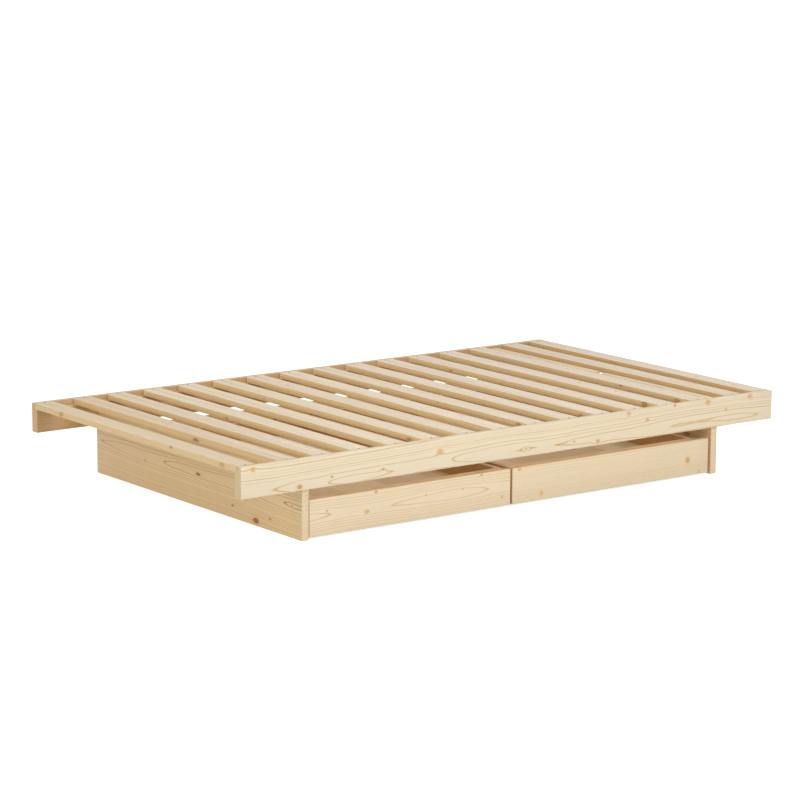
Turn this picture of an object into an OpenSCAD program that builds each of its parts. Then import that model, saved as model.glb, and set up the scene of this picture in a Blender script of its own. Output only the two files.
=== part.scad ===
// Low platform bed of solid pine with two rolling drawers under the slats.
// X runs along the bed, the drawers open towards -Y, and Z = 0 is the ground.
// The origin is the middle of the bed's footprint, on the ground.

/* [Bed frame] */
// Overall length, along the side rails
bed_l = 2100; // [1950:10:2200]
// Overall width, over the outer faces of the side rails
bed_w = 1214; // [1000:2:1500]
// Height of a side rail
rail_h = 95; // [80:1:120]
// Thickness of a side rail
rail_t = 33; // [30:1:45]
// Height of the rails' underside above the ground
base_h = 160; // [150:1:220]
// Thickness of the rail's lip outside the rebate that holds the slats
lip_t = 20; // [14:1:22]
// Chamfer along the long edges of the boards
ease = 1.5; // [0.5:0.1:2.5]

/* [Slats] */
// Width of a slat
slat_w = 67; // [50:1:85]
// Thickness of a slat, and depth of the rebate it lies in
slat_t = 19; // [14:1:24]
// Gap between a slat's end and the rail's lip
slat_end_gap = 1.5; // [0.5:0.1:2.5]
// How far the second slat lies off its even place
second_slat_shift = 8; // [-10:1:12]
// How far the last slat but one lies off its even place
last_but_one_shift = 15; // [-10:1:18]

/* [Slat screws] */
// Diameter of a slat screw's head
screw_head_d = 8; // [6:0.5:8.5]
// Diameter of a slat screw's shank
screw_d = 4; // [3:0.5:5]
// Length of a slat screw
screw_l = 40; // [30:1:60]

/* [End panels] */
// Thickness of an end panel
panel_t = 25; // [20:1:35]
// How far the panels' long edges stand in from the rails' outer faces
panel_inset = 20; // [10:1:22]
// How far the left panel stands inwards of the middle of the slat gap above it
left_panel_in = 4; // [-4:1:8]
// How far the right panel stands inwards of the middle of its slat gap's even place
right_panel_in = -1; // [-8:1:6]
// How far the right panel's top edge lies below the slats' tops
right_top_drop = 5; // [3:1:15]
// How far the left panel's top edge lies below the slats' undersides
left_top_drop = 1; // [0.5:0.5:10]
// Width of the notch in the middle of the right panel's top edge
notch_w = 34; // [20:1:60]
// Depth of that notch
notch_d = 9; // [6:1:20]
// How far the notch's middle lies off the bed's middle
notch_y = -10; // [-40:1:40]

/* [Back panel] */
// Thickness of the back panel
back_t = 25; // [18:1:30]
// Height of the back panel
back_h = 147; // [110:1:150]
// Height of its lower edge above the ground
back_lift = 6; // [3:1:12]
// How far its outer face stands in from the end panels' far edges
back_inset = 44; // [20:1:60]

/* [Dowels] */
// Diameter of the wooden dowels
dowel_d = 8; // [6:1:10]
// Length of the dowels
dowel_l = 40; // [30:1:44]
// How deep the back panel's dowels reach into an end panel
dowel_in_panel = 15; // [10:1:18]

/* [Drawer fronts] */
// Height of a drawer front
front_h = 115; // [100:1:130]
// Height of its lower edge above the ground
front_lift = 7; // [4:1:12]
// Thickness of a drawer front
front_t = 21; // [18:1:26]
// Width of the left drawer's front
left_front_w = 760; // [650:1:850]
// Gap between the left end panel and the left front
left_gap = 2; // [1.5:0.5:8]
// Gap between the two fronts
middle_gap = 8; // [3:0.5:15]
// Gap between the right front and the right end panel
right_gap = 12; // [2:0.5:16]

/* [Drawer boxes] */
// Thickness of a box's side walls
side_t = 17; // [15:1:20]
// Thickness of a box's front and back boards
end_t = 18; // [15:1:20]
// Thickness of a drawer floor
floor_t = 12; // [9:1:14]
// Depth of the grooves that hold the floor
groove_d = 6; // [4:0.5:7]
// How far the box walls reach below the floor
wall_drop = 12; // [8:1:14]
// Set-in of the left box's left wall from the end of its front
left_box_inset_l = 2; // [0:0.5:10]
// Set-in of the left box's right wall from the end of its front
left_box_inset_r = 13.5; // [5:0.5:40]
// Set-in of the right box's left wall from the end of its front
right_box_inset_l = 0; // [0:0.5:20]
// Set-in of the right box's right wall from the end of its front
right_box_inset_r = 44; // [5:0.5:60]
// Gap between a closed drawer and the back panel
rear_gap = 0.3; // [0.3:0.1:10]

/* [Wheels] */
// Diameter of a wheel
wheel_d = 40; // [34:1:44]
// Width of a wheel's tread
tread_w = 16; // [12:1:18]
// Free height between the wheel and its bracket's plate
wheel_gap = 6; // [5:0.5:10]
// Diameter of a wheel's axle
axle_d = 6; // [4:0.5:8]
// Sheet thickness of a bracket
sheet_t = 2; // [1.5:0.1:2.5]
// Distance from a side wall to the middle of its wheels
wheel_in_x = 45; // [35:1:80]
// Distance from a box's front or back board to its wheels
wheel_in_y = 90; // [60:1:160]

/* [Hidden] */
$fn = 64;
slat_n = 16;
top_z = base_h + rail_h;
deck_z = top_z - slat_t;
half_l = bed_l / 2;
half_w = bed_w / 2;
// Radial clearance of a screw, dowel or axle in its hole, and free depth past its tip
fit = 0.05;
tip_gap = 0.5;
// How far a cut runs out past the face that it opens
over = 1;

// Slats: end gap, seat on the rebate, and even spacing
seat = rail_t - lip_t - slat_end_gap;
slat_l = bed_w - 2 * (lip_t + slat_end_gap);
pitch = (bed_l - slat_w) / (slat_n - 1);
function slat_shift(i) = i == 1 ? second_slat_shift : i == slat_n - 2 ? last_but_one_shift : 0;
function slat_x(i) = slat_w / 2 - half_l + i * pitch + slat_shift(i);
screw_y = half_w - lip_t - slat_end_gap - seat / 2;
head_h = (screw_head_d - screw_d) / 2;

// End panels stand under the gap between the second and third slat from each end
gap_x = half_l - (3 * pitch + slat_w) / 2;
function panel_x(e) = e * (gap_x - (e < 0 ? left_panel_in : right_panel_in));
function panel_in(e) = panel_x(e) - e * panel_t / 2;
panel_edge = half_w - panel_inset;
rail_in = half_w - rail_t;
left_top = deck_z - left_top_drop;
right_top = top_z - right_top_drop;
back_y = panel_edge - back_inset - back_t;

// Dowel heights: at these shares of a panel's part between the rails, and of the back panel
rail_dowel_share = [0.2, 0.7];
back_dowel_share = [0.25, 0.75];
neck_h = deck_z - base_h;
rail_dowel_z = [base_h + rail_dowel_share[0] * neck_h, base_h + rail_dowel_share[1] * neck_h];
back_dowel_z = [back_lift + back_dowel_share[0] * back_h, back_lift + back_dowel_share[1] * back_h];

// Drawers: 0 is the left one, 1 the right one
front_y = -panel_edge;
front_top = front_lift + front_h;
split_x = panel_in(-1) + left_gap + left_front_w;
function front_x0(d) = d == 0 ? panel_in(-1) + left_gap : split_x + middle_gap;
function front_x1(d) = d == 0 ? split_x : panel_in(1) - right_gap;
function box_x0(d) = front_x0(d) + (d == 0 ? left_box_inset_l : right_box_inset_l);
function box_x1(d) = front_x1(d) - (d == 0 ? left_box_inset_r : right_box_inset_r);
box_y0 = front_y + front_t;
box_y1 = back_y - rear_gap;
in_y0 = box_y0 + end_t;
in_y1 = box_y1 - end_t;
floor_z = wheel_d + wheel_gap + sheet_t;
floor_top = floor_z + floor_t;
wall_z = floor_z - wall_drop;
groove_end_gap = 0.5;

// Screws of the boxes: size, heights above the floor and below the top, and set-in along a front
joint_screw_l = 32;
joint_screw_d = 4;
joint_head_d = 8;
joint_head_h = (joint_head_d - joint_screw_d) / 2;
screw_above_floor = 18;
screw_below_top = 14;
corner_z = [floor_top + screw_above_floor, front_top - screw_below_top];
front_screw_in = 60;

// Cross recess of a screw's head, as shares of the head's diameter
cross_l = 0.55;
cross_w = 0.14;

// Brackets: inner width beside the tread, plate, and ears that widen towards the plate
wheel_side_gap = 2;
bracket_in_w = tread_w + 2 * wheel_side_gap;
plate_rim = 5;
plate_w = bracket_in_w + 2 * (sheet_t + plate_rim);
plate_l = 54;
plate_z = wheel_d / 2 + wheel_gap;
ear_wall = 5;
ear_r = axle_d / 2 + ear_wall;
ear_root_w = 32;

// Wheels and axles: hub, recess in each side, rim, and the axle's heads
hub_gap = 0.5;
hub_w = bracket_in_w - 2 * hub_gap;
hub_wall = 4;
hub_r = axle_d / 2 + hub_wall;
recess_d = 3;
rim_t = 4;
tread_ease = 1.5;
axle_head_d = 10;
axle_head_t = 2;

// Screws of the brackets: size, and distance from the axle along the plate
small_d = 3.5;
small_head_d = 7;
small_head_t = 2;
small_l = 9;
small_y = 20;

// Places of the wheels: s is 0 for a drawer's left wheels, e is 0 for its front ones
function wheel_x(d, s) = s == 0 ? box_x0(d) + side_t + wheel_in_x : box_x1(d) - side_t - wheel_in_x;
function wheel_y(e) = e == 0 ? in_y0 + wheel_in_y : in_y1 - wheel_in_y;

// Outline of a board's cross-section, a by b, with its four corners chamfered
module eased(a, b, e = ease) {
  polygon([[e, 0], [a - e, 0], [a, e], [a, b - e], [a - e, b], [e, b], [0, b - e], [0, e]]);
}

// Board that runs along X, from (x, y, z)
module board_x(x, y, z, l, w, h, e = ease) {
  translate([x, y, z]) rotate([90, 0, 90]) linear_extrude(l) eased(w, h, e);
}

// Board that runs along Y, from (x, y, z)
module board_y(x, y, z, w, l, h, e = ease) {
  translate([x, y + l, z]) rotate([90, 0, 0]) linear_extrude(l) eased(w, h, e);
}

// Board that stands on edge: its face spans X and Z, and all four edges of the face are eased
module front_board(x, y, z, w, t, h, e = ease) {
  intersection() {
    board_x(x, y, z, w, t, h, e);
    translate([x, y, z]) linear_extrude(h) eased(w, t, e);
  }
}

// Cross recess in the middle of a screw's head, h / 2 deep
module cross(head_d, h) {
  for (a = [0, 90]) rotate([0, 0, a]) cube([head_d * cross_l, head_d * cross_w, h], center = true);
}

// Countersunk screw from the head's top at the origin, driven towards -Z
module flat_screw(l, d, head_d, hh) {
  difference() {
    union() {
      translate([0, 0, -hh]) cylinder(h = hh, d1 = d, d2 = head_d);
      translate([0, 0, -l]) cylinder(h = l - hh / 2, d = d);
    }
    cross(head_d, hh);
  }
}

// Hole for that screw, open a little above the head
module flat_screw_hole(l, d, head_d, hh) {
  translate([0, 0, -hh - fit]) cylinder(h = hh, d1 = d, d2 = head_d);
  translate([0, 0, -fit]) cylinder(h = over, d = head_d + 2 * fit);
  translate([0, 0, -l - tip_gap]) cylinder(h = l, d = d + 2 * fit);
}

// Calls its children at each screw place of slat i, or of every slat
module at_slat_screws(first, last, side = 0) {
  for (i = [first : last], s = side == 0 ? [-1, 1] : [side])
    translate([slat_x(i), s * screw_y, top_z]) children();
}

module slat_screw_hole() {
  flat_screw_hole(screw_l, screw_d, screw_head_d, head_h);
}

// Dowel, or its hole, along the named axis and centred on the origin
module dowel(axis, l = dowel_l, d = dowel_d) {
  turn = axis == "x" ? [0, 90, 0] : axis == "y" ? [90, 0, 0] : [0, 0, 0];
  rotate(turn) cylinder(h = l, d = d, center = true);
}

module dowel_hole(axis) {
  dowel(axis, dowel_l + 2 * tip_gap, dowel_d + 2 * fit);
}

// Dowels between the end panels' upper edges and the rails' inner faces
module at_rail_dowels(sides = [-1, 1], ends = [-1, 1]) {
  for (s = sides, e = ends, z = rail_dowel_z)
    translate([panel_x(e), s * rail_in, z]) children();
}

// Dowels between the back panel's ends and the end panels' inner faces
module at_back_dowels(ends = [-1, 1]) {
  for (e = ends, z = back_dowel_z)
    translate([panel_in(e) + e * (dowel_in_panel - dowel_l / 2), back_y + back_t / 2, z]) children();
}

module rail(side) {
  color("#ecd8ae") difference() {
    board_x(-half_l, side > 0 ? rail_in : -half_w, base_h, bed_l, rail_t, rail_h);
    // rebate that the slats lie in
    translate([-half_l - over, side > 0 ? rail_in - over : lip_t - half_w, deck_z])
      cube([bed_l + 2 * over, rail_t - lip_t + over, slat_t + over]);
    at_slat_screws(0, slat_n - 1, side) slat_screw_hole();
    at_rail_dowels([side]) dowel_hole("y");
  }
}
module rail_near() { rail(-1); }
module rail_far() { rail(1); }

module slat(i) {
  color("#e4d2b6") difference() {
    board_y(slat_x(i) - slat_w / 2, -slat_l / 2, deck_z, slat_w, slat_l, slat_t);
    at_slat_screws(i, i) slat_screw_hole();
  }
}

// End panel: it stands on the ground, carries both rails on its shoulders and rises between them
module end_panel(end, top, notched) {
  x = panel_x(end) - panel_t / 2;
  neck_z = base_h / 2;
  color("#d8b67c") difference() {
    union() {
      translate([x, -panel_edge, 0]) linear_extrude(base_h) eased(panel_t, 2 * panel_edge);
      translate([x, -rail_in, neck_z]) cube([panel_t, 2 * rail_in, top - neck_z]);
    }
    if (notched)
      translate([x - over, notch_y - notch_w / 2, top - notch_d])
        cube([panel_t + 2 * over, notch_w, notch_d + over]);
    at_rail_dowels([-1, 1], [end]) dowel_hole("y");
    at_back_dowels([end]) dowel_hole("x");
  }
}
module end_panel_left() { end_panel(-1, left_top, false); }
module end_panel_right() { end_panel(1, right_top, true); }

module back_panel() {
  color("#d0a76c") difference() {
    board_x(panel_in(-1), back_y, back_lift, panel_in(1) - panel_in(-1), back_t, back_h);
    at_back_dowels() dowel_hole("x");
  }
}

module slat_screws() {
  color("#8c7f68") at_slat_screws(0, slat_n - 1)
    flat_screw(screw_l, screw_d, screw_head_d, head_h);
}
module rail_dowels() { color("#dcc08e") at_rail_dowels() dowel("y"); }
module back_dowels() { color("#dcc08e") at_back_dowels() dowel("x"); }

// Screws through a box's front board into the drawer front, their heads inside the drawer
module at_front_screws(d) {
  x0 = box_x0(d) + side_t + front_screw_in;
  x1 = box_x1(d) - side_t - front_screw_in;
  for (x = [x0, (x0 + x1) / 2, x1], z = corner_z)
    translate([x, in_y0, z]) rotate([-90, 0, 0]) children();
}

// Screws through a box's front and back boards into the side walls' ends
module at_corner_screws(d) {
  for (x = [box_x0(d) + side_t / 2, box_x1(d) - side_t / 2], z = corner_z) {
    translate([x, box_y0, z]) rotate([90, 0, 0]) children();
    translate([x, box_y1, z]) rotate([-90, 0, 0]) children();
  }
}
module joint_screw() { flat_screw(joint_screw_l, joint_screw_d, joint_head_d, joint_head_h); }
module joint_screw_hole() {
  flat_screw_hole(joint_screw_l, joint_screw_d, joint_head_d, joint_head_h);
}

module drawer_front(d) {
  color("#ecd8ae") difference() {
    front_board(front_x0(d), front_y, front_lift, front_x1(d) - front_x0(d), front_t, front_h);
    at_front_screws(d) joint_screw_hole();
  }
}

// Space of the floor board, with its edges in the grooves all round
module floor_space(d, gap = 0) {
  x0 = box_x0(d) + side_t - groove_d + gap;
  y0 = in_y0 - groove_d + gap;
  translate([x0, y0, floor_z])
    cube([box_x1(d) - side_t + groove_d - gap - x0, in_y1 + groove_d - gap - y0, floor_t]);
}

module box_end(d, y) {
  color("#dcbb82") difference() {
    board_x(box_x0(d), y, wall_z, box_x1(d) - box_x0(d), end_t, front_top - wall_z);
    floor_space(d);
    at_corner_screws(d) joint_screw_hole();
    at_front_screws(d) joint_screw_hole();
  }
}

module box_side(d, s) {
  color("#dcbb82") difference() {
    board_y(s == 0 ? box_x0(d) : box_x1(d) - side_t, in_y0, wall_z,
      side_t, in_y1 - in_y0, front_top - wall_z);
    floor_space(d);
    at_corner_screws(d) joint_screw_hole();
  }
}

module drawer_floor(d) {
  color("#c79c66") difference() {
    floor_space(d, groove_end_gap);
    at_brackets(d) at_small_screws() small_screw_hole();
  }
}

// Places of a drawer's four wheels, at the axles' middles
module at_brackets(d) {
  for (s = [0, 1], e = [0, 1]) translate([wheel_x(d, s), wheel_y(e), wheel_d / 2]) children();
}

// Screws through a bracket's plate into the floor above it
module at_small_screws() {
  for (s = [-1, 1]) translate([0, s * small_y, plate_z]) children();
}
module small_screw() {
  translate([0, 0, -small_head_t]) difference() {
    cylinder(h = small_head_t, d = small_head_d);
    cross(small_head_d, small_head_t);
  }
  cylinder(h = small_l, d = small_d);
}
module small_screw_hole() {
  translate([0, 0, -over]) cylinder(h = small_l + over + tip_gap, d = small_d + 2 * fit);
}

// Wheel bracket: a plate under the drawer floor and two ears that hold the axle
module bracket() {
  difference() {
    union() {
      translate([-plate_w / 2, -plate_l / 2, plate_z]) cube([plate_w, plate_l, sheet_t]);
      for (x = [-bracket_in_w / 2 - sheet_t, bracket_in_w / 2])
        translate([x, 0, 0]) rotate([90, 0, 90]) linear_extrude(sheet_t) {
          circle(ear_r);
          polygon([
            [-ear_r, 0], [ear_r, 0],
            [ear_root_w / 2, plate_z + sheet_t / 2], [-ear_root_w / 2, plate_z + sheet_t / 2]
          ]);
        }
    }
    rotate([0, 90, 0]) cylinder(h = plate_w, d = axle_d + 2 * fit, center = true);
    at_small_screws() small_screw_hole();
  }
}

module axle() {
  half = bracket_in_w / 2 + sheet_t;
  rotate([0, 90, 0]) {
    cylinder(h = 2 * half + axle_head_t, d = axle_d, center = true);
    for (s = [-1, 1])
      translate([0, 0, s * (half + axle_head_t / 2)])
        cylinder(h = axle_head_t, d = axle_head_d, center = true);
  }
}

// Wheel: a tread, a thinner web with a recess on each side, and a hub that spaces it in its bracket
module wheel(d, s, e) {
  r = wheel_d / 2;
  t = tread_w / 2;
  web = t - recess_d;
  rim = r - rim_t;
  color("#3a3a3c") translate([wheel_x(d, s), wheel_y(e), r]) rotate([0, 90, 0]) rotate_extrude()
    polygon([
      [axle_d / 2 + fit, -hub_w / 2], [hub_r, -hub_w / 2], [hub_r, -web], [rim, -web], [rim, -t],
      [r - tread_ease, -t], [r, tread_ease - t], [r, t - tread_ease], [r - tread_ease, t],
      [rim, t], [rim, web], [hub_r, web], [hub_r, hub_w / 2], [axle_d / 2 + fit, hub_w / 2]
    ]);
}

module drawer_front_screws(d) { color("#8f8a80") at_front_screws(d) joint_screw(); }
module drawer_corner_screws(d) { color("#8f8a80") at_corner_screws(d) joint_screw(); }
module drawer_brackets(d) { color("#9a9da0") at_brackets(d) bracket(); }
module drawer_bracket_screws(d) { color("#8f8a80") at_brackets(d) at_small_screws() small_screw(); }
module drawer_axles(d) { color("#b4b6b8") at_brackets(d) axle(); }

rail_near();
rail_far();
slat(0);  // slat_01
slat(1);  // slat_02
slat(2);  // slat_03
slat(3);  // slat_04
slat(4);  // slat_05
slat(5);  // slat_06
slat(6);  // slat_07
slat(7);  // slat_08
slat(8);  // slat_09
slat(9);  // slat_10
slat(10);  // slat_11
slat(11);  // slat_12
slat(12);  // slat_13
slat(13);  // slat_14
slat(14);  // slat_15
slat(15);  // slat_16
end_panel_left();
end_panel_right();
back_panel();
slat_screws();
rail_dowels();
back_dowels();
drawer_front(0);  // drawer_left_front
box_end(0, box_y0);  // drawer_left_box_front
box_side(0, 0);  // drawer_left_side_left
box_side(0, 1);  // drawer_left_side_right
box_end(0, in_y1);  // drawer_left_back
drawer_floor(0);  // drawer_left_floor
drawer_front_screws(0);  // drawer_left_front_screws
drawer_corner_screws(0);  // drawer_left_corner_screws
drawer_brackets(0);  // drawer_left_brackets
drawer_bracket_screws(0);  // drawer_left_bracket_screws
drawer_axles(0);  // drawer_left_axles
wheel(0, 0, 0);  // wheel_left_drawer_front_left
wheel(0, 1, 0);  // wheel_left_drawer_front_right
wheel(0, 0, 1);  // wheel_left_drawer_rear_left
wheel(0, 1, 1);  // wheel_left_drawer_rear_right
drawer_front(1);  // drawer_right_front
box_end(1, box_y0);  // drawer_right_box_front
box_side(1, 0);  // drawer_right_side_left
box_side(1, 1);  // drawer_right_side_right
box_end(1, in_y1);  // drawer_right_back
drawer_floor(1);  // drawer_right_floor
drawer_front_screws(1);  // drawer_right_front_screws
drawer_corner_screws(1);  // drawer_right_corner_screws
drawer_brackets(1);  // drawer_right_brackets
drawer_bracket_screws(1);  // drawer_right_bracket_screws
drawer_axles(1);  // drawer_right_axles
wheel(1, 0, 0);  // wheel_right_drawer_front_left
wheel(1, 1, 0);  // wheel_right_drawer_front_right
wheel(1, 0, 1);  // wheel_right_drawer_rear_left
wheel(1, 1, 1);  // wheel_right_drawer_rear_right
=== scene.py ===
import math
import random

import bmesh
import bpy
from mathutils import Matrix, Vector


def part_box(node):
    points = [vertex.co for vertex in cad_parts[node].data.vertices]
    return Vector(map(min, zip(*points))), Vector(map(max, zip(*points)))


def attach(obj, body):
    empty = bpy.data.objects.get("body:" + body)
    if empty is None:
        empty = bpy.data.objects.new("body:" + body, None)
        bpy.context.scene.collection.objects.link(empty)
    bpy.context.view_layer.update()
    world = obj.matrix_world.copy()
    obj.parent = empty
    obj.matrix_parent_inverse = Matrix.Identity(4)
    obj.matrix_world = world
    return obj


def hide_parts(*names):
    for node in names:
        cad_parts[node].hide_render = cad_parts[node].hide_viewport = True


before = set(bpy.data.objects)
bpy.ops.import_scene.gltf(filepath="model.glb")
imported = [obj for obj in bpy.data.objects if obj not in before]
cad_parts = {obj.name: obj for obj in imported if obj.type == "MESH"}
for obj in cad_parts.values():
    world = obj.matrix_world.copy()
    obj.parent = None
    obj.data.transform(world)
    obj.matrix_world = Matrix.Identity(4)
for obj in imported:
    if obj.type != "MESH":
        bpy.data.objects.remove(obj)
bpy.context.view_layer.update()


# ---------------------------------------------------------------- Side rails
# Two planed pine boards on edge, 95 x 33 mm, that run the whole length of the bed.
# Their upper inner edge is rebated for the slats; the arrises are broken with a plane.

def put(tree, kind, values=(), **settings):
    """Adds one node, with its settings, and sets or links its inputs, named or numbered."""
    made = tree.nodes.new("ShaderNode" + kind)
    for key, value in settings.items():
        setattr(made, key, value)
    for key, value in dict(values).items():
        if isinstance(value, bpy.types.NodeSocket):
            tree.links.new(value, made.inputs[key])
        else:
            made.inputs[key].default_value = value
    return made


def maths(tree, operation, *values, clamp=False):
    """One step of arithmetic on numbers or sockets."""
    made = put(tree, "Math", enumerate(values), operation=operation, use_clamp=clamp)
    return made.outputs[0]


def vectors(tree, operation, *values):
    """One step of vector arithmetic. A plain number as the last value is a scale."""
    made = put(tree, "VectorMath", (), operation=operation)
    for index, value in enumerate(values):
        key = "Scale" if operation == "SCALE" and index == 1 else index
        if isinstance(value, bpy.types.NodeSocket):
            tree.links.new(value, made.inputs[key])
        else:
            made.inputs[key].default_value = value
    return made.outputs["Value" if operation in ("LENGTH", "DOT_PRODUCT") else "Vector"]


def ease_between(tree, value, low, high, out_low=0.0, out_high=1.0):
    """Smooth step from out_low to out_high as value goes from low to high."""
    made = put(tree, "MapRange",
               {"Value": value, "From Min": low, "From Max": high,
                "To Min": out_low, "To Max": out_high},
               interpolation_type="SMOOTHSTEP")
    return made.outputs["Result"]


def blend_colour(tree, amount, first, second, mode="MIX"):
    """Mixes two colours by a mask."""
    made = put(tree, "Mix", (), data_type="RGBA", blend_type=mode)
    for key, value in ((0, amount), (6, first), (7, second)):
        if isinstance(value, bpy.types.NodeSocket):
            tree.links.new(value, made.inputs[key])
        else:
            made.inputs[key].default_value = value
    return made.outputs[2]


def noise(tree, at, stretch, detail=2.0, roughness=0.5, colour=False):
    """Noise on the log's coordinates; stretch is cells per metre along, across and in depth."""
    place = vectors(tree, "MULTIPLY", at, stretch)
    made = put(tree, "TexNoise", {"Vector": place, "Scale": 1.0, "Detail": detail,
                                  "Roughness": roughness}, noise_dimensions="3D")
    return made.outputs["Color" if colour else "Fac"]


def open_group(name, inputs):
    """A new shader node group with named inputs, which gives a colour, a roughness and a height."""
    tree = bpy.data.node_groups.new(name, "ShaderNodeTree")
    for label, kind in inputs:
        tree.interface.new_socket(label, in_out="INPUT", socket_type="NodeSocket" + kind)
    for label, kind in (("Color", "Color"), ("Roughness", "Float"), ("Height", "Float")):
        tree.interface.new_socket(label, in_out="OUTPUT", socket_type="NodeSocket" + kind)
    return tree, tree.nodes.new("NodeGroupInput")


def close_group(tree, colour, roughness, height):
    """Links a group's results to its outputs."""
    result = tree.nodes.new("NodeGroupOutput")
    for label, value in (("Color", colour), ("Roughness", roughness), ("Height", height)):
        tree.links.new(value, result.inputs[label])


def build_pine():
    """Pine as a solid: growth rings round a wandering pith, branches that the rings flow round,
    fibres, streaks and end grain. Log is a place in the tree in metres, x along its pith. Facing is
    the face's normal on the tree's axes, and Knot the way from the nearest branch. Growth holds that
    branch's radius and darkness and the width of a ring, and Mark the end grain, the arrises (1) or
    glue lines (-1), and the share of the second tone."""
    tree, given = open_group(
        "Pine",
        [("Log", "Vector"), ("Facing", "Vector"), ("Knot", "Vector"), ("Growth", "Vector"),
         ("Mark", "Vector"), ("Tone", "Float"), ("Early Wood", "Color"), ("Late Wood", "Color"),
         ("Second Wood", "Color"), ("Second Share", "Float"), ("Line Strength", "Float")])
    log, knot, tone = given.outputs["Log"], given.outputs["Knot"], given.outputs["Tone"]
    split = put(tree, "SeparateXYZ", {0: given.outputs["Mark"]})
    end, edge, other = split.outputs
    split = put(tree, "SeparateXYZ", {0: given.outputs["Growth"]})
    radius, dark, ring_width = split.outputs

    def times(first, second):
        return maths(tree, "MULTIPLY", first, second)

    def plus(first, second):
        return maths(tree, "ADD", first, second)

    def about_middle(value, amount):
        return times(plus(value, -0.5), amount)

    def distance(a, b):
        return maths(tree, "SQRT", plus(times(a, a), times(b, b)))

    def tinted(colour, tint):
        return blend_colour(tree, 1.0, colour, (*tint, 1.0), "MULTIPLY")

    # Distance from the branch, along the grain and across it, in branch radii
    parts = put(tree, "SeparateXYZ", {0: knot})
    along = maths(tree, "DIVIDE", maths(tree, "ABSOLUTE", parts.outputs[0]), radius)
    across = maths(tree, "DIVIDE", distance(parts.outputs[1], parts.outputs[2]), radius)

    def hill(reach_along, reach_across):
        a = maths(tree, "DIVIDE", along, reach_along)
        b = maths(tree, "DIVIDE", across, reach_across)
        return maths(tree, "EXPONENT", times(plus(times(a, a), times(b, b)), -1.0))

    # Rings are pushed aside by the branch, and bulge out along it
    bent = vectors(tree, "SUBTRACT", log, vectors(tree, "SCALE", knot, times(hill(4.6, 2.2), 0.85)))
    bulge = times(times(hill(3.2, 1.7), radius), 0.7)

    def stray(stretch, detail, reach):
        spot = noise(tree, bent, stretch, detail, colour=True)
        return vectors(tree, "SCALE", vectors(tree, "SUBTRACT", spot, (0.5, 0.5, 0.5)), reach)

    # The pith wanders over half a metre, and the rings ripple over a few centimetres
    wander = stray((1.7, 0.0, 0.0), 1.0, 0.026)
    ripple = stray((6.0, 24.0, 24.0), 2.0, 0.0034)
    placed = vectors(tree, "ADD", vectors(tree, "ADD", bent, wander), ripple)
    section = put(tree, "SeparateXYZ", {0: placed})
    ring_r = maths(tree, "SUBTRACT", distance(section.outputs[1], section.outputs[2]), bulge)
    # Good and poor years: rings differ in width and in how dark their late wood is
    years = put(tree, "TexNoise", {"W": times(ring_r, 60.0), "Detail": 1.0, "Scale": 1.0},
                noise_dimensions="1D").outputs["Fac"]
    count = plus(maths(tree, "DIVIDE", ring_r, ring_width), times(years, 2.2))
    phase = maths(tree, "FRACT", count)
    year = put(tree, "TexWhiteNoise", {"W": maths(tree, "FLOOR", count)},
               noise_dimensions="1D").outputs["Value"]
    # Where the saw ran along a ring its line would spread over the face, so it starts later there
    outward = put(tree, "CombineXYZ", {1: section.outputs[1], 2: section.outputs[2]}).outputs[0]
    along_ring = maths(tree, "ABSOLUTE", vectors(tree, "DOT_PRODUCT", given.outputs["Facing"],
                                                 vectors(tree, "NORMALIZE", outward)))
    spread = maths(tree, "POWER", along_ring, 8.0)
    rise = ease_between(tree, phase, plus(times(spread, 0.36), 0.50), 0.95)
    late = times(times(rise, rise), ease_between(tree, phase, 0.955, 1.0, 1.0, 0.0))
    late = times(late, ease_between(tree, year, 0.0, 1.0, 0.35, 1.0))
    late = times(late, given.outputs["Line Strength"])

    # Fibres, streaks and broad patches along the grain
    fibre = noise(tree, placed, (14.0, 750.0, 750.0), 3.0, 0.65)
    streak = noise(tree, placed, (2.2, 150.0, 150.0), 3.0, 0.6)
    patch = noise(tree, placed, (1.3, 9.0, 9.0), 2.0)
    fleck = ease_between(tree, noise(tree, placed, (16.0, 520.0, 520.0), 1.0), 0.69, 0.76)

    # Some faces are of a second tone, which paints light on the upper faces of slats, panels and boxes
    # and paints shade on the far rail's inner face and the fronts' ends and tops; the lines stay on
    # them
    share = times(times(other, given.outputs["Second Share"]),
                  ease_between(tree, streak, 0.25, 0.75, 0.85, 1.1))
    second_late = tinted(given.outputs["Second Wood"], (0.80, 0.69, 0.55))
    early = blend_colour(tree, share, given.outputs["Early Wood"], given.outputs["Second Wood"])
    lines = blend_colour(tree, share, given.outputs["Late Wood"], second_late)
    colour = blend_colour(tree, late, early, lines)
    resin = (0.36, 0.19, 0.07, 1.0)
    colour = blend_colour(tree, times(fleck, 0.20), colour, resin)
    shade = plus(plus(about_middle(fibre, 0.62), about_middle(streak, 0.50)),
                 plus(about_middle(patch, 0.34), times(tone, 0.16)))
    tint = blend_colour(tree, maths(tree, "ADD", 0.5, shade, clamp=True),
                        (0.90, 0.855, 0.78, 1.0), (1.06, 1.06, 1.07, 1.0))
    colour = blend_colour(tree, 1.0, colour, tint, "MULTIPLY")

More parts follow.
